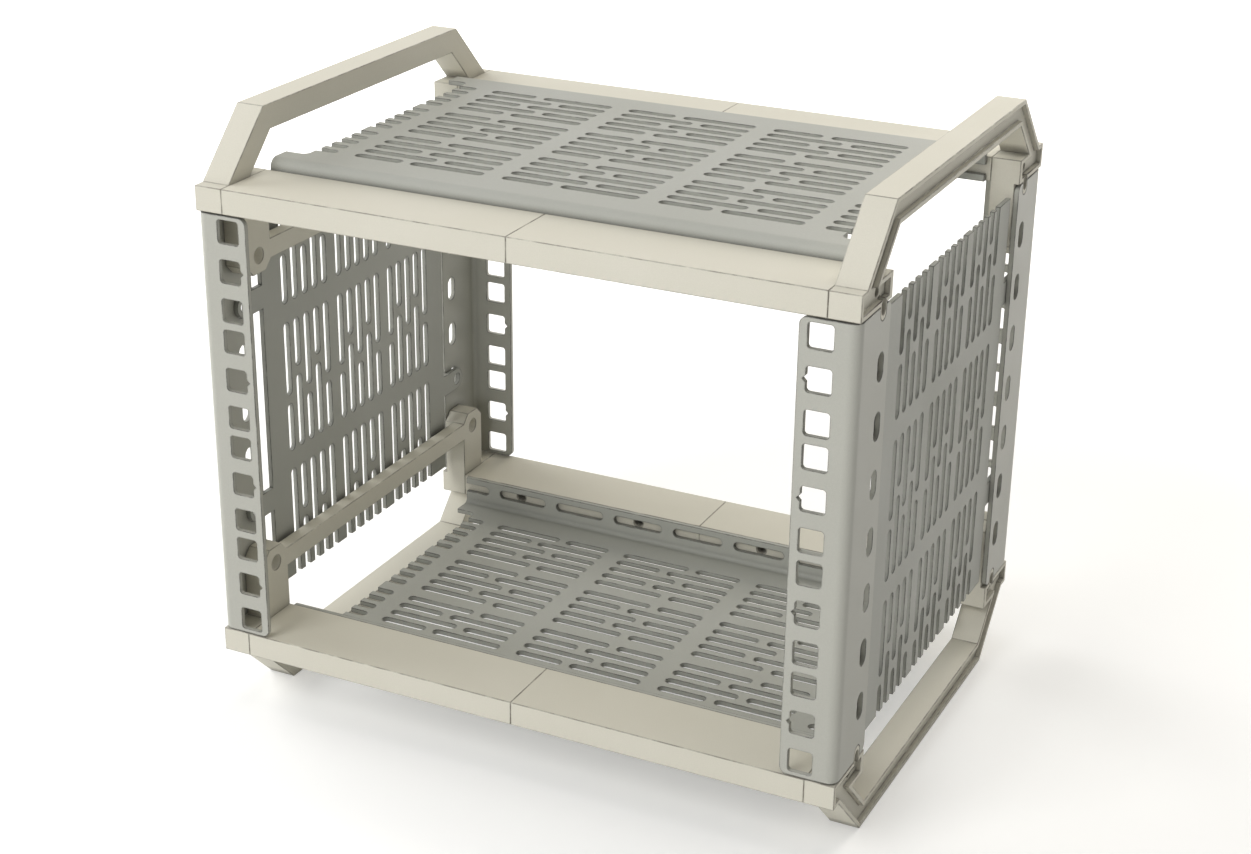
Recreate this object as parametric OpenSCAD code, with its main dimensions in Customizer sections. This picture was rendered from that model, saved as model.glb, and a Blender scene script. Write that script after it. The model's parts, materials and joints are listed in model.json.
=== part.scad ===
// Small open server rack: four folded rails, a slotted panel on each side, a slotted tray above and
// below, and moulded end beams and side frames whose loops are the handles and the feet.
// X runs to the right, Y to the back and Z up. The origin is below the middle, on the ground.

/* [Rack] */
// Height of the rack in rack units
units = 4; // [2:1:8]
// Height of one rack unit
unit_h = 44.45; // [40:0.05:50]
// Distance between the left and right columns of square holes
hole_spacing = 240; // [200:0.5:480]
// Overall depth, from front face to rear face
depth = 208.2; // [190:0.1:400]

/* [Rails] */
// Sheet thickness of a rail
rail_t = 2; // [1.5:0.1:3]
// Outside radius of a rail's fold
rail_bend_r = 4; // [3.2:0.1:5]
// Width of the flange that carries the square holes
rail_front_w = 22; // [20:0.5:26]
// Distance that the flange along the side ends short of the beam's depth
rail_short = 0.2; // [0:0.1:2]
// Distance from the middle of the square holes to the rail's outside face
hole_to_side = 14; // [12:0.5:16]
// Radius of the corners of both flanges
rail_corner_r = 3; // [1:0.5:5]
// Width of a square hole
square_w = 9.5; // [8:0.1:10]
// Radius in the corners of a square hole
square_r = 1.3; // [0.5:0.1:2]
// Distance from the middle hole of a unit to the holes above and below it
square_step = 15.875; // [13:0.005:16]
// Depth of the pointed mark beside the middle hole of each unit
mark_d = 1.3; // [0.5:0.1:2]
// Width of a slot in the side flange
slot_w = 6; // [5:0.1:7]
// Height of a slot in the side flange
slot_h = 10.8; // [8:0.1:14]
// Distance from the rack's face to the middle of the slots
slot_in = 22.1; // [20:0.1:24]

/* [Beams] */
// Depth of a beam, front to back
beam_d = 30.2; // [28:0.1:36]
// Height of a beam
beam_h = 10; // [8:0.5:14]
// Gap between the end of a rail and the beam
rail_gap = 0.5; // [0.1:0.1:2]
// Diameter of the blind holes that take the tray's screws
insert_d = 4.7; // [3:0.1:6]
// Depth of those blind holes
insert_depth = 9; // [5:0.5:16]
// Diameter of the pilot hole in a beam's end
pilot_d = 2.8; // [2:0.1:4]
// Depth of the pilot hole
pilot_depth = 14; // [8:0.5:24]

/* [Side frames] */
// Width of a side frame, across the rack
frame_w = 12; // [10:0.5:18]
// Height of the handle's top above the beam
handle_rise = 25; // [20:0.5:40]
// Thickness of the handle bar and of its risers
bar_t = 10; // [8:0.5:14]
// Distance from the rack's face to the foot of the riser
riser_in = 5.3; // [2:0.1:8]
// Depth of the recess in the outside face
recess = 2; // [1:0.1:3]
// Width of the rim around the recess
rim = 2; // [1.2:0.1:2.5]
// Thickness of the recess's wall on the inner side of the corner block
inner_rim = 3; // [2:0.1:4]
// Diameter of the screw hole into the beam's end
screw_d = 3.4; // [3:0.1:4.5]
// Distance from the rack's face to the screw hole
screw_in = 19.5; // [17:0.1:21]
// Distance from the rack's face to the front of a lug
lug_in = 13.8; // [12:0.1:16]
// Length of a lug past the beam
lug_h = 30; // [28:0.5:36]
// Chamfer at the free end of a lug
lug_chamfer = 4; // [1:0.5:5]
// Diameter of the bolt hole in a lug
lug_hole_d = 6.4; // [5:0.1:7]
// Clearance around the nib that fits the open slot at the end of a rail
nib_play = 0.1; // [0.05:0.05:0.4]
// Width of the bore in that nib
bore_w = 4; // [3:0.1:4.4]
// Height of the bore
bore_h = 6.4; // [4:0.1:7]
// Depth of the bore from the outside face
bore_depth = 9; // [4:0.5:10]
// Height of the tie bar between two lugs
tie_h = 8; // [5:0.5:12]
// Thickness of the tie bar
tie_w = 6; // [4:0.5:8]

/* [Slotted sheets] */
// Sheet thickness of the side panels
panel_t = 2; // [1:0.1:3]
// Distance from a beam to the edge of a side panel
sheet_gap = 3.9; // [2:0.1:8]
// Distance from the end of a rail to the edge of a side panel
panel_end = 4; // [1:0.5:10]
// Width of a panel's ear
ear_w = 10; // [9:0.5:12]
// Diameter of the hole in an ear
ear_hole_d = 5.5; // [4:0.1:7]
// Width of a vent slot
vent_w = 4; // [2:0.1:5]
// Distance between neighbouring slots of a group
vent_step = 7.25; // [6.5:0.05:7.6]
// Distance between two groups of slots
vent_group_step = 40; // [38:0.5:60]
// Length of one block of slots
vent_len = 56.7; // [50:0.1:60]
// Distance between two blocks of slots
vent_len_step = 65; // [62:0.5:80]
// Width of the bridge that divides a block into a long and a short slot
vent_bridge = 4; // [2:0.1:6]
// Distance from the middle of a block to its bridge
vent_shift = 5.45; // [0:0.05:10]

/* [Trays] */
// Sheet thickness of a tray
tray_t = 2; // [1:0.1:3]
// Outside radius of a tray's fold
tray_bend_r = 4; // [3.2:0.1:5]
// Clearance between a tray's end and the side frame
tray_gap = 2; // [0.5:0.1:4]
// Depth of the hand recess in each end of a tray
hand_d = 9.5; // [4:0.5:16]
// Distance from a beam to the hand recess
hand_gap = 11; // [9:0.5:30]
// Radius in the corners of the hand recess
hand_r = 3; // [1:0.5:4]
// Distance from the beam's middle to the free edge of a tray's flange
flange_edge = 4.9; // [4:0.1:6]
// Distance from the beam's middle to the tray's outside face
flange_top = 9.65; // [8:0.05:14]
// Width of a slot in a tray's flange
flange_slot_w = 4; // [3:0.1:5]
// Length of a slot in a tray's flange
flange_slot_len = 24.2; // [16:0.1:26]
// Distance between two slots in a tray's flange
flange_slot_step = 30; // [28:0.5:40]

/* [Hidden] */

// Roundness of every arc
$fn = 48;
// Amount by which a cut runs past the face that it starts from
past = 1;
// Slots in one group
vent_count = 5;
// Colours of the moulded pieces, the rails and the slotted sheets
ivory = [0.84, 0.83, 0.77];
rail_grey = [0.73, 0.745, 0.72];
sheet_grey = [0.66, 0.68, 0.65];

half_rail = units * unit_h / 2;
half_w = hole_spacing / 2 + hole_to_side;
half_d = depth / 2;
slot_step = unit_h / 2;
// Depth of the flange along the side
rail_side_w = beam_d - rail_short;
// Distances from the rack's face to the edge of a panel, to the flat of a tray and to a hand recess
sheet_in = beam_d + sheet_gap;
plate_in = beam_d + tray_bend_r;
hand_in = beam_d + hand_gap;
// Heights above the rack's middle
beam_low = half_rail + rail_gap;
beam_mid = beam_low + beam_h / 2;
half_h = beam_low + beam_h + handle_rise;
// Inside face of the side frames, and half the width of the trays
frame_x = half_w - frame_w;
tray_x = frame_x - tray_gap;
// Run of a 45 degree riser for each unit of wall measured square to it
root2 = sqrt(2);
// Distance from the rack's face to the back of a riser's foot
riser_back = riser_in + root2 * bar_t;

// Stands a piece that is drawn around the rack's middle, at the top right of the front, on the ground
// and puts it at the left, at the rear or below where asked. Rails, side frames, beam halves and side
// panels are each symmetric about a plane of their own, so a mirrored one is the same piece turned.
module placed(left, rear, below) {
    translate([0, 0, half_h])
        mirror([left ? 1 : 0, 0, 0])
            mirror([0, rear ? 1 : 0, 0])
                mirror([0, 0, below ? 1 : 0]) children();
}

// Lays a shape drawn in Y and Z against the plane at x and gives it a thickness along X
module along_x(x, thickness) {
    translate([x, 0, 0]) rotate([90, 0, 90]) linear_extrude(thickness) children();
}

// Lays a shape drawn in X and Z against the plane at y and gives it a thickness along Y
module along_y(y, thickness) {
    translate([0, y + thickness, 0]) rotate([90, 0, 0]) linear_extrude(thickness) children();
}

// Slot with round ends, its length along the first axis
module round_slot(length, width) {
    square([length - width, width], center = true);
    for (side = [-1, 1])
        translate([side * (length - width) / 2, 0]) circle(d = width);
}

// Quarter ring of a folded sheet, its outside towards +x and -y
module fold(radius, thickness) {
    intersection() {
        difference() {
            circle(r = radius);
            circle(r = radius - thickness);
        }
        translate([0, -radius]) square(radius);
    }
}

// What a rounded corner removes from a square one that points towards +x and +y
module corner_cut(radius) {
    difference() {
        translate([-radius, -radius]) square(radius + past);
        translate([-radius, -radius]) circle(r = radius);
    }
}

// Square hole with rounded corners
module square_hole() {
    side = square_w - 2 * square_r;
    square([square_w, side], center = true);
    square([side, square_w], center = true);
    for (x = [-side / 2, side / 2], z = [-side / 2, side / 2])
        translate([x, z]) circle(r = square_r);
}

// Pointed mark that opens into a square hole on the side of the rack's middle
module hole_mark() {
    edge = square_w / 2;
    polygon([[-edge - mark_d, 0], [-edge, -mark_d], [-edge + mark_d, 0], [-edge, mark_d]]);
}

// Heights of the middle holes of the rack's units, and of the slots in the side flange
unit_mids = [for (i = [0:units - 1]) (i + 0.5) * unit_h - half_rail];
slot_heights = [for (i = [0:2 * units]) i * slot_step - half_rail];

// Section of a rail, its outside corner at the origin
module rail_section() {
    translate([-rail_front_w, 0]) square([rail_front_w - rail_bend_r, rail_t]);
    translate([-rail_bend_r, rail_bend_r]) fold(rail_bend_r, rail_t);
    translate([-rail_t, rail_bend_r]) square([rail_t, rail_side_w - rail_bend_r]);
}

// Square holes, marks and rounded corners of the front flange
module rail_front_cuts() {
    for (mid = unit_mids) {
        for (step = [-square_step, 0, square_step])
            translate([hole_spacing / 2, mid + step]) square_hole();
        translate([hole_spacing / 2, mid]) hole_mark();
    }
    for (end = [-1, 1])
        scale([1, end]) translate([half_w - rail_front_w, half_rail])
            mirror([1, 0]) corner_cut(rail_corner_r);
}

// Slots and rounded corners of the side flange
module rail_side_cuts() {
    for (height = slot_heights)
        translate([slot_in - half_d, height]) rotate(90) round_slot(slot_h, slot_w);
    for (end = [-1, 1])
        scale([1, end]) translate([rail_side_w - half_d, half_rail]) corner_cut(rail_corner_r);
}

// Folded rail at the front right
module rail() {
    color(rail_grey) difference() {
        translate([half_w, -half_d, -half_rail]) linear_extrude(2 * half_rail) rail_section();
        along_y(-half_d - past, rail_t + 2 * past) rail_front_cuts();
        along_x(half_w - rail_t - past, rail_t + 2 * past) rail_side_cuts();
    }
}

module rail_front_left() { placed(true, false, false) rail(); }
module rail_front_right() { placed(false, false, false) rail(); }
module rail_rear_left() { placed(true, true, false) rail(); }
module rail_rear_right() { placed(false, true, false) rail(); }

// Half of a side frame's outline from the front face to the middle, seen from the side, with the
// height counted from the underside of the corner block: first the outer line, then the inner line.
// inset draws it that much smaller all round, and wall does so at the block's inner face.
function outer_line(inset) = [
    [inset, inset],
    [inset, beam_h - inset],
    [riser_in + inset * (root2 - 1), beam_h - inset],
    [riser_in + handle_rise + inset * (root2 - 1), beam_h + handle_rise - inset]
];
function inner_line(inset, wall) = [
    [riser_back + handle_rise - bar_t - inset * (root2 - 1), beam_h + handle_rise - bar_t + inset],
    [riser_back - inset * (root2 + 1), beam_h - inset],
    [beam_d - wall, beam_h - inset],
    [beam_d - wall, inset]
];
// The same points at the rear, in the other order
function at_rear(points) = [for (i = [len(points) - 1:-1:0]) [depth - points[i][0], points[i][1]]];

// Closed outline of the corner blocks, the risers and the handle bar
module loop_outline(inset, wall) {
    polygon(concat(
        outer_line(inset),
        at_rear(outer_line(inset)),
        at_rear(inner_line(inset, wall)),
        inner_line(inset, wall)
    ));
}

// Lug that reaches down behind a rail's side flange
module lug_outline() {
    polygon([
        [lug_in, 0],
        [lug_in, lug_chamfer - lug_h],
        [lug_in + lug_chamfer, -lug_h],
        [beam_d - lug_chamfer, -lug_h],
        [beam_d, lug_chamfer - lug_h],
        [beam_d, 0]
    ]);
}

// Upright slot in the middle of the rail's end slot
module at_end_slot(height, width) {
    translate([slot_in, -rail_gap]) rotate(90) round_slot(height, width);
}

// Puts a hole or a lug at the front and at the rear of a side frame
module both_ends() {
    children();
    translate([depth, 0]) mirror([1, 0]) children();
}

// Moulded side frame at the top right
module side_frame() {
    lug_hole_h = half_rail - slot_step - beam_low;
    color(ivory) translate([0, -half_d, beam_low]) difference() {
        union() {
            along_x(frame_x, frame_w) loop_outline(0, 0);
            along_x(frame_x, frame_w - rail_t) both_ends() lug_outline();
            along_x(half_w - rail_t - past, rail_t + past) both_ends()
                at_end_slot(slot_h - 2 * nib_play, slot_w - 2 * nib_play);
            along_x(frame_x, tie_w) translate([slot_in, lug_chamfer - lug_h])
                square([depth - 2 * slot_in, tie_h]);
        }
        along_x(half_w - recess, recess + past) loop_outline(rim, inner_rim);
        along_x(half_w - bore_depth, bore_depth + past) both_ends() at_end_slot(bore_h, bore_w);
        along_x(frame_x - past, frame_w + 2 * past) both_ends()
            translate([screw_in, beam_h / 2]) circle(d = screw_d);
        along_x(frame_x - past, frame_w + 2 * past) both_ends()
            translate([slot_in, lug_hole_h]) circle(d = lug_hole_d);
    }
}

module side_frame_top_left() { placed(true, false, false) side_frame(); }
module side_frame_top_right() { placed(false, false, false) side_frame(); }
module side_frame_bottom_left() { placed(true, false, true) side_frame(); }
module side_frame_bottom_right() { placed(false, false, true) side_frame(); }

// Half of a beam, from the middle of the rack to the corner block, at the top right of the front
module beam_half() {
    color(ivory) difference() {
        translate([0, -half_d, beam_low]) cube([frame_x, beam_d, beam_h]);
        for (share = [1 / 4, 3 / 4])
            translate([share * frame_x, 0, beam_mid])
                along_y(beam_d - insert_depth - half_d, insert_depth + past) circle(d = insert_d);
        translate([0, 0, beam_mid]) along_x(frame_x - pilot_depth, pilot_depth + past)
            translate([screw_in - half_d, 0]) circle(d = pilot_d);
    }
}

module beam_top_front_left() { placed(true, false, false) beam_half(); }
module beam_top_front_right() { placed(false, false, false) beam_half(); }
module beam_top_rear_left() { placed(true, true, false) beam_half(); }
module beam_top_rear_right() { placed(false, true, false) beam_half(); }
module beam_bottom_front_left() { placed(true, false, true) beam_half(); }
module beam_bottom_front_right() { placed(false, false, true) beam_half(); }
module beam_bottom_rear_left() { placed(true, true, true) beam_half(); }
module beam_bottom_rear_right() { placed(false, true, true) beam_half(); }

// One block of a vent row: a long and a short slot with a bridge between them. side turns it round.
module vent_block(side) {
    bridge = side * vent_shift;
    for (end = [-1, 1]) {
        from = bridge + end * vent_bridge / 2;
        to = end * vent_len / 2;
        translate([(from + to) / 2, 0]) round_slot(abs(to - from), vent_w);
    }
}

// Field of vent slots that run along the first axis, around the middle of a sheet
module vent_field(half_length, width) {
    groups = floor(width / vent_group_step);
    reach = ceil((half_length - vent_len / 2) / vent_len_step);
    for (group = [0:groups - 1], slot = [0:vent_count - 1], block = [-reach:reach])
        translate([
            block * vent_len_step,
            (group - (groups - 1) / 2) * vent_group_step + (slot - (vent_count - 1) / 2) * vent_step
        ])
            vent_block(slot % 2 == 0 ? -1 : 1);
}

// Outline of a side panel with an ear at each of its four fixings, seen from the side
module panel_outline() {
    panel_w = depth - 2 * sheet_in;
    ear_reach = half_d - slot_in;
    square([panel_w, 2 * (half_rail - panel_end)], center = true);
    for (height = [unit_h - half_rail, half_rail - unit_h]) {
        translate([0, height]) square([2 * ear_reach, ear_w], center = true);
        for (end = [-1, 1])
            translate([end * ear_reach, height]) circle(d = ear_w);
    }
}

// Slotted panel inside the right rails
module side_panel() {
    ear_reach = half_d - slot_in;
    color(sheet_grey) along_x(half_w - rail_t - panel_t, panel_t) difference() {
        panel_outline();
        for (end = [-1, 1], height = [unit_h - half_rail, half_rail - unit_h])
            translate([end * ear_reach, height]) circle(d = ear_hole_d);
        rotate(90) vent_field(half_rail - panel_end, depth - 2 * sheet_in);
    }
}

module side_panel_left() { placed(true, false, false) side_panel(); }
module side_panel_right() { placed(false, false, false) side_panel(); }

// Hand recess in the right end of a tray's plate
module hand_recess() {
    recess_x = tray_x - hand_d;
    recess_y = half_d - hand_in;
    difference() {
        translate([recess_x, -recess_y]) square([hand_d + past, 2 * recess_y]);
        for (end = [-1, 1])
            scale([1, end]) translate([recess_x, recess_y]) mirror([1, 0]) corner_cut(hand_r);
    }
}

// Outline of a tray's plate between its folds, seen from above
module tray_plate() {
    plate_w = depth - 2 * plate_in;
    difference() {
        square([2 * tray_x, plate_w], center = true);
        hand_recess();
        mirror([1, 0]) hand_recess();
        vent_field(tray_x - hand_d, plate_w);
    }
}

// Outline of a tray's flange from the fold to the free edge, seen from the front
module tray_flange() {
    slots = ceil(tray_x / flange_slot_step);
    difference() {
        translate([-tray_x, beam_mid - flange_edge])
            square([2 * tray_x, flange_edge + flange_top - tray_bend_r]);
        for (i = [-slots:slots])
            translate([i * flange_slot_step, beam_mid]) round_slot(flange_slot_len, flange_slot_w);
    }
}

// Tray over the top beams, with a flange folded down behind the front beam and before the rear beam
module tray() {
    outside = beam_mid + flange_top;
    color(sheet_grey) {
        translate([0, 0, outside - tray_t]) linear_extrude(tray_t) tray_plate();
        for (side = [0, 1]) mirror([0, side, 0]) {
            along_y(beam_d - half_d, tray_t) tray_flange();
            along_x(-tray_x, 2 * tray_x) translate([plate_in - half_d, outside - tray_bend_r])
                rotate(180) fold(tray_bend_r, tray_t);
        }
    }
}

module tray_top() { placed(false, false, false) tray(); }
// The same tray turned over, left to right
module tray_bottom() { placed(true, false, true) tray(); }

rail_front_left();
rail_front_right();
rail_rear_left();
rail_rear_right();
side_frame_top_left();
side_frame_top_right();
side_frame_bottom_left();
side_frame_bottom_right();
beam_top_front_left();
beam_top_front_right();
beam_top_rear_left();
beam_top_rear_right();
beam_bottom_front_left();
beam_bottom_front_right();
beam_bottom_rear_left();
beam_bottom_rear_right();
tray_top();
tray_bottom();
side_panel_left();
side_panel_right();
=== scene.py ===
"""Finished look of a small open server rack: moulded ivory frames and beams, and powder-coated
rails and sheets."""

import json
import math

import bmesh
import bpy
import numpy
from mathutils import Matrix, Vector
from mathutils.geometry import delaunay_2d_cdt


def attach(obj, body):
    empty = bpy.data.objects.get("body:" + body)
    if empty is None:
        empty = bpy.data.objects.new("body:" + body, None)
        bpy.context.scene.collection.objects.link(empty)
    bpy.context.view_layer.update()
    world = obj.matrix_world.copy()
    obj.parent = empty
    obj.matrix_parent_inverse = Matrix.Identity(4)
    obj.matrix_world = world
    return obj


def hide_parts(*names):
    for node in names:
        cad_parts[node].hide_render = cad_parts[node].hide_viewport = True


MM = 0.001

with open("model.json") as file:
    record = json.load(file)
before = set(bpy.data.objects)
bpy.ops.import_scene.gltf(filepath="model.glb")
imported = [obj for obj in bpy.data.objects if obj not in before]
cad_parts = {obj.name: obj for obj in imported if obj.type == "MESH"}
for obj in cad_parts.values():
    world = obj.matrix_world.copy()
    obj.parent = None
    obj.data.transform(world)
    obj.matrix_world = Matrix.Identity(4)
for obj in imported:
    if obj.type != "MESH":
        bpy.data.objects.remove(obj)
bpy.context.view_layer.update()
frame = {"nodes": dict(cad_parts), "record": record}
nodes = frame["nodes"]

# The view that the photograph was taken from, for a picture of 1251 by 854 pixels
PICTURE = (1251, 854)
LENS_PIXELS = 2235.33
AXIS_PIXEL = (597.52, 448.46)
SENSOR_WIDTH_MM = 36
CAMERA_PLACE = (365.755 * MM, -763.566 * MM, 471.032 * MM)
CAMERA_AZIMUTH, CAMERA_ELEVATION, CAMERA_ROLL = (math.radians(a) for a in (26.501, 23.564, 0.390))


def add_object(name, data):
    item = bpy.data.objects.new(name, data)
    bpy.context.scene.collection.objects.link(item)
    return item


def add_camera():
    data = bpy.data.cameras.new("camera")
    data.sensor_width = SENSOR_WIDTH_MM
    data.lens = LENS_PIXELS / PICTURE[0] * data.sensor_width
    data.shift_x = (PICTURE[0] / 2 - AXIS_PIXEL[0]) / PICTURE[0]
    data.shift_y = (AXIS_PIXEL[1] - PICTURE[1] / 2) / PICTURE[0]
    camera = add_object("camera", data)
    az, el = CAMERA_AZIMUTH, CAMERA_ELEVATION
    back = Vector((math.sin(az) * math.cos(el), -math.cos(az) * math.cos(el), math.sin(el)))
    right = (-back).cross(Vector((0, 0, 1))).normalized()
    up = right.cross(-back)
    turned_right = math.cos(CAMERA_ROLL) * right + math.sin(CAMERA_ROLL) * up
    turned_up = -math.sin(CAMERA_ROLL) * right + math.cos(CAMERA_ROLL) * up
    turn = Matrix((turned_right, turned_up, back)).transposed().to_4x4()
    camera.matrix_world = Matrix.Translation(CAMERA_PLACE) @ turn
    bpy.context.scene.camera = camera


add_camera()


# Node helpers

def set_inputs(tree, node, values):
    """Sets a node's inputs, named or counted from 0, to plain values or to other nodes' outputs."""
    for name, value in values.items():
        if isinstance(value, bpy.types.NodeSocket):
            tree.links.new(value, node.inputs[name])
        else:
            node.inputs[name].default_value = value


def add_node(tree, kind, values=None, **settings):
    node = tree.nodes.new(kind)
    for name, setting in settings.items():
        setattr(node, name, setting)
    set_inputs(tree, node, values or {})
    return node


def math_node(tree, operation, first, second, clamp=False):
    settings = {"operation": operation, "use_clamp": clamp}
    return add_node(tree, "ShaderNodeMath", {0: first, 1: second}, **settings).outputs[0]


def map_range(tree, value, span, onto=(0.0, 1.0)):
    """Moves a value from one span onto another, and no further than its ends."""
    node = add_node(tree, "ShaderNodeMapRange", {
        "Value": value, "From Min": span[0], "From Max": span[1],
        "To Min": onto[0], "To Max": onto[1]})
    return node.outputs["Result"]


def mix_colours(tree, factor, first, second, blend="MIX"):
    """Mixes two colours, each a (red, green, blue) or a node's output. The sockets are counted,
    because the mix node has several of each name."""
    first, second = ((*c, 1.0) if isinstance(c, tuple) else c for c in (first, second))
    settings = {"data_type": "RGBA", "blend_type": blend}
    node = add_node(tree, "ShaderNodeMix", {0: factor, 6: first, 7: second}, **settings)
    return node.outputs[2]


def noise(tree, scale, detail, roughness=0.5):
    """Noise that lies still on the piece. scale is in waves a metre."""
    place = add_node(tree, "ShaderNodeTexCoord")
    node = add_node(tree, "ShaderNodeTexNoise", {
        "Vector": place.outputs["Object"], "Scale": scale,
        "Detail": detail, "Roughness": roughness})
    return node.outputs["Fac"]


def new_sockets(tree, direction, kind, names):
    for name in names:
        tree.interface.new_socket(name=name, in_out=direction, socket_type=kind)


def new_group(name, inputs, outputs):
    """Shader group of float sockets: its tree, what it is given, and the node that puts it out."""
    tree = bpy.data.node_groups.new(name, "ShaderNodeTree")
    new_sockets(tree, "INPUT", "NodeSocketFloat", inputs)
    new_sockets(tree, "OUTPUT", "NodeSocketFloat", outputs)
    return tree, add_node(tree, "NodeGroupInput").outputs, add_node(tree, "NodeGroupOutput")


# Finishes

# Mask on each piece that marks the rounded strips along its edges
ROUNDED = "rounded"
# How fast the edge mark, worn spots with a painted shade line, sets in beside an edge as the
# surface turns
EDGE_MARK_GAIN = 5.0
# Span of the noise in which the edge mark breaks up into patches
PATCHES = (0.28, 0.56)
# How open a place is where the painted crevice shade begins and where it is darkest, from 1 in the
# open
OPEN_TO_DEEP = (0.9, 0.35)
# Share of the edge colour that the painted crevice shade takes
CREVICE_SHADE_SHARE = 0.45
# Span that holds most of a noise's values
NOISE_SPAN = (0.3, 0.7)
# How much more the slow drift takes from blue than from red and green
YELLOWING = 1.3
# Rays for each look round an edge or into a crevice
NEAR_SAMPLES = 4


def edge_wear_and_shade_group():
    """Mask that is 1 along edges, for worn spots with a painted shade line, and 0 elsewhere."""
    tree, given, out = new_group("edge wear", ("Width", "Patch Scale", "Amount"), ("Mask",))
    rounded = add_node(tree, "ShaderNodeBevel", {"Radius": given["Width"]}, samples=NEAR_SAMPLES)
    surface = add_node(tree, "ShaderNodeNewGeometry")
    alike = add_node(
        tree, "ShaderNodeVectorMath",
        {0: rounded.outputs["Normal"], 1: surface.outputs["True Normal"]},
        operation="DOT_PRODUCT")
    turned = math_node(tree, "SUBTRACT", 1.0, alike.outputs["Value"])
    beside = math_node(tree, "MULTIPLY", turned, EDGE_MARK_GAIN, clamp=True)
    strip = add_node(tree, "ShaderNodeAttribute", attribute_name=ROUNDED)
    edge = math_node(tree, "MAXIMUM", beside, strip.outputs["Fac"])
    patches = noise(tree, given["Patch Scale"], detail=5.0, roughness=0.65)
    broken = math_node(tree, "MULTIPLY", edge, map_range(tree, patches, PATCHES))
    mask = math_node(tree, "MULTIPLY", broken, given["Amount"], clamp=True)
    set_inputs(tree, out, {"Mask": mask})
    return tree


def crevice_shade_group():
    """Mask of painted shade that rises from 0 in the open to 1 deep in slots, holes and inside
    corners.
    """
    tree, given, out = new_group("crevice", ("Reach", "Amount"), ("Mask",))
    # Ambient occlusion here paints shade into the colour
    look = add_node(
        tree, "ShaderNodeAmbientOcclusion", {"Distance": given["Reach"]}, samples=NEAR_SAMPLES)
    depth = map_range(tree, look.outputs["AO"], OPEN_TO_DEEP)
    mask = math_node(tree, "MULTIPLY", depth, given["Amount"], clamp=True)
    set_inputs(tree, out, {"Mask": mask})
    return tree


def surface_grain_group():
    """Fine relief, a fleck and a slow drift of colour, for moulded plastic and for powder coat."""
    tree, given, out = new_group(
        "surface grain", ("Grain Scale", "Wave Scale", "Wave Share", "Drift Scale"),
        ("Height", "Fleck", "Drift"))
    grain = noise(tree, given["Grain Scale"], detail=3.0, roughness=0.6)
    wave = noise(tree, given["Wave Scale"], detail=1.0)
    fine_share = math_node(tree, "SUBTRACT", 1.0, given["Wave Share"])
    fine = math_node(tree, "MULTIPLY", grain, fine_share)
    coarse = math_node(tree, "MULTIPLY", wave, given["Wave Share"])
    set_inputs(tree, out, {
        "Height": math_node(tree, "ADD", fine, coarse),
        "Fleck": grain,
        "Drift": noise(tree, given["Drift Scale"], detail=3.0, roughness=0.55)})
    return tree


EDGE_WEAR_AND_SHADE = edge_wear_and_shade_group()
CREVICE_SHADE = crevice_shade_group()
SURFACE_GRAIN = surface_grain_group()


def finish_material(
        name, colour, wear_and_shade_colour, roughness, gloss, relief, fleck, drift, grain, wear_and_shade, crevice_shade):
    """Material with grain, edges darkened by worn spots and a painted shade line, and painted shade
    in its crevices. roughness is (smoothest, roughest), relief is in metres, fleck and drift are
    shares of the colour, and grain, wear_and_shade and crevice_shade are the inputs of the three
    groups."""
    material = bpy.data.materials.new(name)
    material.use_nodes = True
    tree = material.node_tree
    texture = add_node(tree, "ShaderNodeGroup", grain, node_tree=SURFACE_GRAIN).outputs
    worn_and_shaded_edges = add_node(tree, "ShaderNodeGroup", wear_and_shade, node_tree=EDGE_WEAR_AND_SHADE).outputs["Mask"]
    crevice = add_node(tree, "ShaderNodeGroup", crevice_shade, node_tree=CREVICE_SHADE).outputs["Mask"]
    darker, lighter = (tuple(c * share for c in colour) for share in (1 - fleck, 1 + fleck))
    flecked = mix_colours(tree, map_range(tree, texture["Fleck"], NOISE_SPAN), darker, lighter)
    tint = (1 - drift, 1 - drift, 1 - YELLOWING * drift)
    tinted = mix_colours(tree, 1.0, flecked, tint, "MULTIPLY")
    drifted = mix_colours(tree, map_range(tree, texture["Drift"], NOISE_SPAN), flecked, tinted)
    # Painted shade line along every edge, together with worn spots, darkens the colour here
    worn_and_shaded_colour = mix_colours(tree, worn_and_shaded_edges, drifted, wear_and_shade_colour)
    # Painted shade in slots, holes and inside corners, a darker share of the edge colour
    crevice_shade_colour = tuple(CREVICE_SHADE_SHARE * c for c in wear_and_shade_colour)
    bump = add_node(
        tree, "ShaderNodeBump", {"Strength": 1.0, "Distance": relief, "Height": texture["Height"]})
    set_inputs(tree, tree.nodes["Principled BSDF"], {
        "Base Color": mix_colours(tree, crevice, worn_and_shaded_colour, crevice_shade_colour),
        "Roughness": map_range(tree, texture["Drift"], NOISE_SPAN, roughness),
        "Specular IOR Level": gloss,
        "Normal": bump.outputs["Normal"]})
    return material


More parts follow.
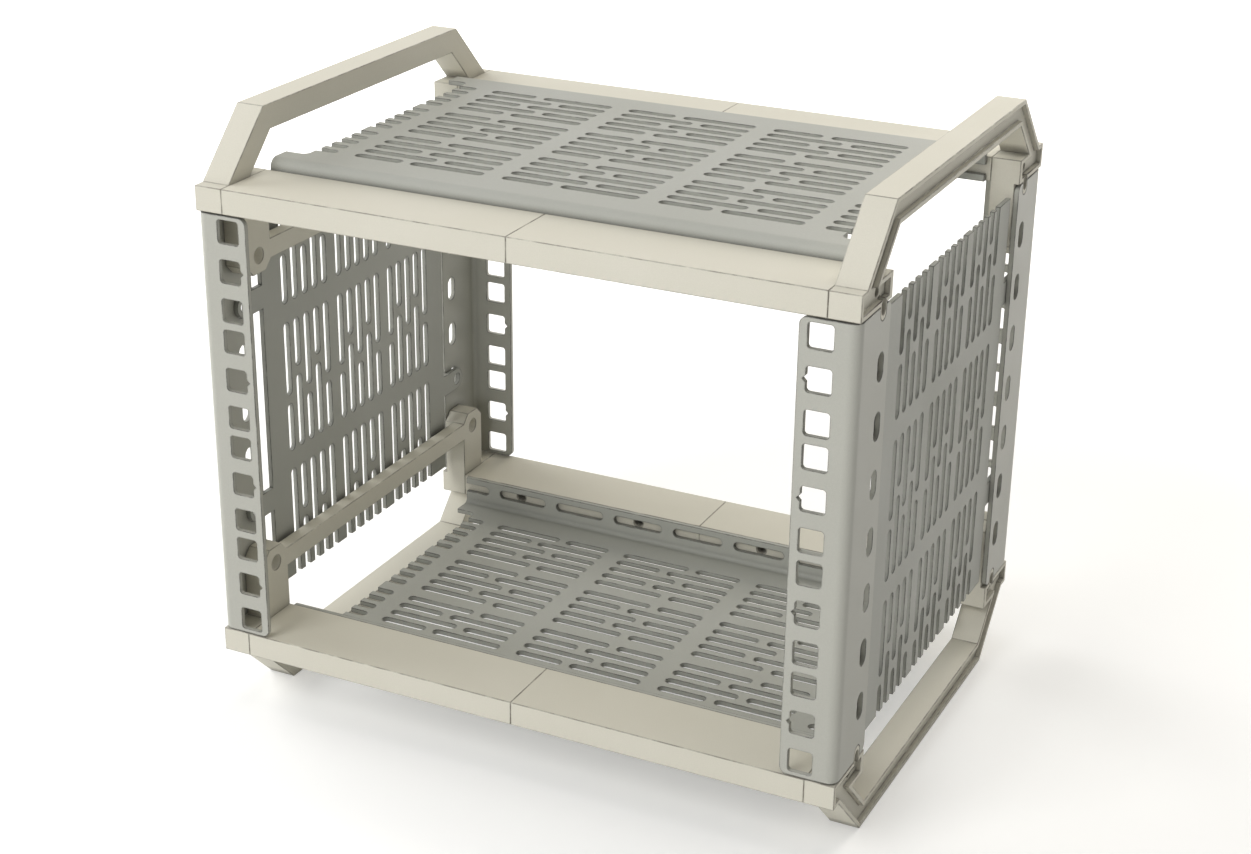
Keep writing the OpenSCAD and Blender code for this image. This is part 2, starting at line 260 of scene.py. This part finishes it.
# Each dark edge colour stands for worn spots and for a painted shade line along the edges
MOULDED_IVORY = finish_material(
    "moulded ivory",
    colour=(0.655, 0.632, 0.545), wear_and_shade_colour=(0.22, 0.205, 0.17),
    roughness=(0.50, 0.62), gloss=0.35, relief=0.06 * MM, fleck=0.03, drift=0.035,
    grain={"Grain Scale": 2400.0, "Wave Scale": 500.0, "Wave Share": 0.35, "Drift Scale": 16.0},
    wear_and_shade={"Width": 0.8 * MM, "Patch Scale": 120.0, "Amount": 0.85},
    crevice_shade={"Reach": 5 * MM, "Amount": 0.5})
RAIL_COAT = finish_material(
    "rail powder coat",
    colour=(0.450, 0.450, 0.405), wear_and_shade_colour=(0.09, 0.09, 0.083),
    roughness=(0.36, 0.46), gloss=0.3, relief=0.05 * MM, fleck=0.05, drift=0.03,
    grain={"Grain Scale": 3000.0, "Wave Scale": 900.0, "Wave Share": 0.75, "Drift Scale": 20.0},
    wear_and_shade={"Width": 0.8 * MM, "Patch Scale": 150.0, "Amount": 0.95},
    crevice_shade={"Reach": 4 * MM, "Amount": 0.6})
SHEET_COAT = finish_material(
    "sheet powder coat",
    colour=(0.400, 0.405, 0.370), wear_and_shade_colour=(0.06, 0.06, 0.055),
    roughness=(0.42, 0.54), gloss=0.25, relief=0.05 * MM, fleck=0.05, drift=0.03,
    grain={"Grain Scale": 2800.0, "Wave Scale": 800.0, "Wave Share": 0.7, "Drift Scale": 18.0},
    wear_and_shade={"Width": 0.9 * MM, "Patch Scale": 150.0, "Amount": 0.95},
    crevice_shade={"Reach": 4 * MM, "Amount": 0.7})

SLOTS = {"moulded_ivory": MOULDED_IVORY, "rail_coat": RAIL_COAT, "sheet_coat": SHEET_COAT}


# Pieces

# How far the edges of each finish are rounded, and in how many steps
EDGES = {"moulded_ivory": 0.30 * MM, "rail_coat": 0.16 * MM, "sheet_coat": 0.10 * MM}
EDGE_STEPS = 2
# Width of the rim around a hole for each unit of rounding
RIM = 1.15
# Faces that turn less than this lie in one plane
COPLANAR = math.radians(1.2)
# Edges that turn less than this belong to a curved face and stay as they are
GENTLE = math.radians(38)
# Corners that lie closer than this are one corner
SAME_CORNER = 0.002 * MM
SAME_FLAT_POINT = 1e-9
# What the triangulation is asked for: triangles inside the loops alone
INSIDE_LOOPS = 1
# Material slots of a piece while it is made
FACES, STRIPS = 0, 1


def flat_regions(shape):
    """Groups of joined faces that lie in one plane."""
    regions, seen = [], set()
    for start in shape.faces:
        if start in seen:
            continue
        seen.add(start)
        region, waiting = [start], [start]
        while waiting:
            for edge in waiting.pop().edges:
                if len(edge.link_faces) != 2 or edge.calc_face_angle() > COPLANAR:
                    continue
                for face in edge.link_faces:
                    if face not in seen:
                        seen.add(face)
                        region.append(face)
                        waiting.append(face)
        regions.append(region)
    return regions


def border_of(region):
    """Edges between a region and the rest of its piece."""
    own = set(region)
    return [e for face in region for e in face.edges if sum(f in own for f in e.link_faces) == 1]


def count_loops(edges):
    """Number of closed loops that these edges make."""
    left, loops = set(edges), 0
    while left:
        loops += 1
        waiting = [left.pop()]
        while waiting:
            for vertex in waiting.pop().verts:
                for edge in vertex.link_edges:
                    if edge in left:
                        left.remove(edge)
                        waiting.append(edge)
    return loops


def inside(points, ends):
    """For each flat point, whether it lies inside the closed loops whose edges run between the
    given ends."""
    x, y = points[:, :1], points[:, 1:]
    (x0, y0), (x1, y1) = ends[:, 0].T, ends[:, 1].T
    with numpy.errstate(divide="ignore", invalid="ignore"):
        crossing = x0 + (y - y0) * (x1 - x0) / (y1 - y0)
    return (((y0 > y) != (y1 > y)) & (x < crossing)).sum(axis=1) % 2 == 1


def fill_between(shape, edges, normal):
    """Fills the flat area between closed loops of edges with triangles."""
    corners = list(dict.fromkeys(vertex for edge in edges for vertex in edge.verts))
    number = {vertex: i for i, vertex in enumerate(corners)}
    level = normal.to_track_quat("Z", "Y").inverted()
    flat = [(level @ vertex.co).xy for vertex in corners]
    sides = [tuple(number[vertex] for vertex in edge.verts) for edge in edges]
    points, _, triangles, origins, _, _ = delaunay_2d_cdt(
        flat, sides, [], INSIDE_LOOPS, SAME_FLAT_POINT)
    places = numpy.array(points)
    middles = numpy.array([places[list(triangle)].mean(axis=0) for triangle in triangles])
    kept = inside(middles, numpy.array(flat)[numpy.array(sides)])
    for triangle, keep in zip(triangles, kept):
        if keep and all(origins[i] for i in triangle):
            shape.faces.new([corners[origins[i][0]] for i in triangle])


def tidy_faces(shape, rim):
    """Makes each flat region one face, or where it has holes a narrow rim around every hole and
    edge with triangles between, so that a bevel runs evenly along it. Edges and corners are
    gathered in dictionaries, which keep their order, so that every run gives the same mesh."""
    inner_edges, holed = {}, []
    for region in flat_regions(shape):
        border = border_of(region)
        if count_loops(border) > 1:
            holed.append(region)
        else:
            around = set(border)
            inner_edges |= dict.fromkeys(
                edge for face in region for edge in face.edges if edge not in around)
    bmesh.ops.dissolve_edges(shape, edges=list(inner_edges), use_verts=False)
    for region in holed:
        normal = max(region, key=lambda face: face.calc_area()).normal.copy()
        bmesh.ops.inset_region(
            shape, faces=region, thickness=rim, use_even_offset=True, use_boundary=True)
        inner = border_of(region)
        bmesh.ops.delete(shape, geom=region, context="FACES")
        fill_between(shape, inner, normal)


def tidy_copy(node, slot, edge):
    """Merged mesh of a CAD node, with tidy faces and still with sharp edges."""
    mesh = nodes[node].data.copy()
    mesh.materials.clear()
    for _ in (FACES, STRIPS):
        mesh.materials.append(SLOTS[slot])
    shape = bmesh.new()
    shape.from_mesh(mesh)
    bmesh.ops.remove_doubles(shape, verts=shape.verts, dist=SAME_CORNER)
    tidy_faces(shape, RIM * edge)
    for face in shape.faces:
        face.material_index = FACES
        face.smooth = True
    shape.to_mesh(mesh)
    shape.free()
    return mesh


def made_plain(thing):
    """Mesh of an object with its modifiers in it. The object itself goes."""
    evaluated = thing.evaluated_get(bpy.context.evaluated_depsgraph_get())
    mesh = bpy.data.meshes.new_from_object(evaluated)
    bpy.data.objects.remove(thing)
    return mesh


def part_rounded_edges(mesh):
    """Marks the rounded strips and keeps their shading off the faces beside them."""
    shape = bmesh.new()
    shape.from_mesh(mesh)
    for edge in shape.edges:
        if len({face.material_index for face in edge.link_faces}) > 1:
            edge.smooth = False
    mark = shape.faces.layers.float.new(ROUNDED)
    for face in shape.faces:
        face[mark] = float(face.material_index == STRIPS)
        face.material_index = FACES
    shape.to_mesh(mesh)
    shape.free()
    mesh.materials.pop()


def finished(node, slot, edge):
    """Copy of a piece with rounded edges, which stands for it."""
    name = node + "_finished"
    raw = add_object(name + "_raw", tidy_copy(node, slot, edge))
    rounding = raw.modifiers.new("rounded edges", "BEVEL")
    rounding.width = edge
    rounding.segments = EDGE_STEPS
    rounding.limit_method = "ANGLE"
    rounding.angle_limit = GENTLE
    rounding.use_clamp_overlap = False
    rounding.material = STRIPS
    mesh = made_plain(raw)
    mesh.name = name
    part_rounded_edges(mesh)
    piece = add_object(name, mesh)
    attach(piece, "root")
    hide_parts(node)


for row in frame["record"]["subparts"]:
    finished(row["node"], row["material_slot"], EDGES[row["material_slot"]])


# Threads in the beams' blind holes, one helical ridge a hole

# Places and sizes in millimetres
HOLE_X = (30.5, 91.5)
HOLE_Z = (30.0, 218.8)
FRONT_HOLE_END, REAR_HOLE_MOUTH = -82.7, 74.1
HOLE_RADIUS, THREAD_PITCH, THREAD_TURNS, THREAD_RIDGE = 2.35, 0.8, 10.5, 0.32
STEPS_A_TURN, RIDGE_SIDES = 24, 4


def thread_tree():
    """Sets a helical ridge on every point, its axis along Y."""
    tree = bpy.data.node_groups.new("hole threads", "GeometryNodeTree")
    new_sockets(tree, "INPUT", "NodeSocketGeometry", ("Points",))
    new_sockets(tree, "INPUT", "NodeSocketFloat", ("Hole Radius", "Pitch", "Turns", "Ridge"))
    new_sockets(tree, "OUTPUT", "NodeSocketGeometry", ("Threads",))
    given = add_node(tree, "NodeGroupInput").outputs
    out = add_node(tree, "NodeGroupOutput")
    helix = add_node(tree, "GeometryNodeCurveSpiral", {
        "Resolution": STEPS_A_TURN, "Rotations": given["Turns"],
        "Start Radius": given["Hole Radius"], "End Radius": given["Hole Radius"],
        "Height": math_node(tree, "MULTIPLY", given["Pitch"], given["Turns"])})
    section = add_node(tree, "GeometryNodeCurvePrimitiveCircle", {
        "Resolution": RIDGE_SIDES, "Radius": given["Ridge"]})
    ridge = add_node(tree, "GeometryNodeCurveToMesh", {
        "Curve": helix.outputs["Curve"], "Profile Curve": section.outputs["Curve"],
        "Fill Caps": True})
    placed = add_node(tree, "GeometryNodeInstanceOnPoints", {
        "Points": given["Points"], "Instance": ridge.outputs["Mesh"],
        "Rotation": (-math.pi / 2, 0, 0)})
    real = add_node(
        tree, "GeometryNodeRealizeInstances", {"Geometry": placed.outputs["Instances"]})
    coated = add_node(tree, "GeometryNodeSetMaterial", {
        "Geometry": real.outputs["Geometry"], "Material": MOULDED_IVORY})
    set_inputs(tree, out, {"Threads": coated.outputs["Geometry"]})
    return tree


def add_threads():
    mesh = bpy.data.meshes.new("hole_threads_points")
    starts = [
        (side * x * MM, y * MM, z * MM)
        for side in (-1, 1) for x in HOLE_X
        for y in (FRONT_HOLE_END, REAR_HOLE_MOUTH) for z in HOLE_Z]
    mesh.from_pydata(starts, [], [])
    points = add_object("hole_threads_points", mesh)
    modifier = points.modifiers.new("hole threads", "NODES")
    tree = thread_tree()
    modifier.node_group = tree
    sizes = {
        "Hole Radius": HOLE_RADIUS * MM, "Pitch": THREAD_PITCH * MM, "Turns": THREAD_TURNS,
        "Ridge": THREAD_RIDGE * MM}
    for item in tree.interface.items_tree:
        if item.name in sizes:
            modifier[item.identifier] = sizes[item.name]
    threads = add_object("hole_threads", made_plain(points))
    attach(threads, "root")


add_threads()


# Floor, light and world

FLOOR_REACH = 6.0
FLOOR_COLOUR = (0.8, 0.8, 0.79, 1)
# The floor's own glow, which lights nothing, and the distances over which it grows to white
FLOOR_GLOW, GLOW_REACH = (0.3, 1.0), (0.35, 1.5)
# The world's strength as light on the object
SURROUNDINGS = 0.23
# Round lamps: place, width, power and colour. All of them point at LAMPS_AIM.
LAMPS_AIM = Vector((0, 0, 0.12))
LAMPS = {
    "key": ((-0.9, -2.2, 2.0), 1.6, 32, (1, 1, 1)),
    "overhead": ((0.2, 0.3, 2.6), 2.0, 15, (1.0, 0.96, 0.90)),
    "low_front": ((-0.2, -2.7, 0.5), 1.4, 21, (1, 1, 1)),
    "rear": ((0.3, 2.4, 1.0), 1.6, 31, (1.0, 0.93, 0.80)),
    "left": ((-2.4, 0.4, 0.9), 2.4, 58, (1, 1, 1))}


def seen_directly(tree, otherwise):
    """Strength that is 1 for the camera, for gloss and for glass, and `otherwise` as light on the
    object."""
    path = add_node(tree, "ShaderNodeLightPath").outputs
    camera_or_gloss = math_node(tree, "MAXIMUM", path["Is Camera Ray"], path["Is Glossy Ray"])
    any_of = math_node(tree, "MAXIMUM", camera_or_gloss, path["Is Transmission Ray"])
    return map_range(tree, any_of, (0.0, 1.0), (otherwise, 1.0))


def add_floor():
    mesh = bpy.data.meshes.new("floor")
    square = ((-1, -1), (1, -1), (1, 1), (-1, 1))
    corners = [(FLOOR_REACH * x, FLOOR_REACH * y, 0) for x, y in square]
    mesh.from_pydata(corners, [], [(0, 1, 2, 3)])
    floor = add_object("floor", mesh)
    material = bpy.data.materials.new("pale floor")
    material.use_nodes = True
    tree = material.node_tree
    tree.nodes.clear()
    matt = add_node(tree, "ShaderNodeBsdfDiffuse", {"Color": FLOOR_COLOUR})
    place = add_node(tree, "ShaderNodeTexCoord")
    away = add_node(
        tree, "ShaderNodeVectorMath", {0: place.outputs["Object"]}, operation="LENGTH")
    whiter_far_off = map_range(tree, away.outputs["Value"], GLOW_REACH, FLOOR_GLOW)
    strength = math_node(tree, "MULTIPLY", seen_directly(tree, 0.0), whiter_far_off)
    glow = add_node(tree, "ShaderNodeEmission", {"Strength": strength})
    both = add_node(
        tree, "ShaderNodeAddShader", {0: matt.outputs["BSDF"], 1: glow.outputs["Emission"]})
    add_node(tree, "ShaderNodeOutputMaterial", {"Surface": both.outputs["Shader"]})
    mesh.materials.append(material)


def add_world():
    world = bpy.data.worlds.new("white surroundings")
    bpy.context.scene.world = world
    world.use_nodes = True
    tree = world.node_tree
    set_inputs(tree, tree.nodes["Background"], {
        "Color": (1, 1, 1, 1), "Strength": seen_directly(tree, SURROUNDINGS)})


def add_lamp(name, place, width, power, colour):
    data = bpy.data.lights.new(name, "AREA")
    data.shape = "DISK"
    data.size = width
    data.energy = power
    data.color = colour
    lamp = add_object(name, data)
    lamp.location = place
    lamp.rotation_mode = "QUATERNION"
    lamp.rotation_quaternion = (LAMPS_AIM - Vector(place)).to_track_quat("-Z", "Y")


add_floor()
add_world()
for lamp_name, lamp in LAMPS.items():
    add_lamp(lamp_name, *lamp)
bpy.context.scene.view_settings.view_transform = "Standard"
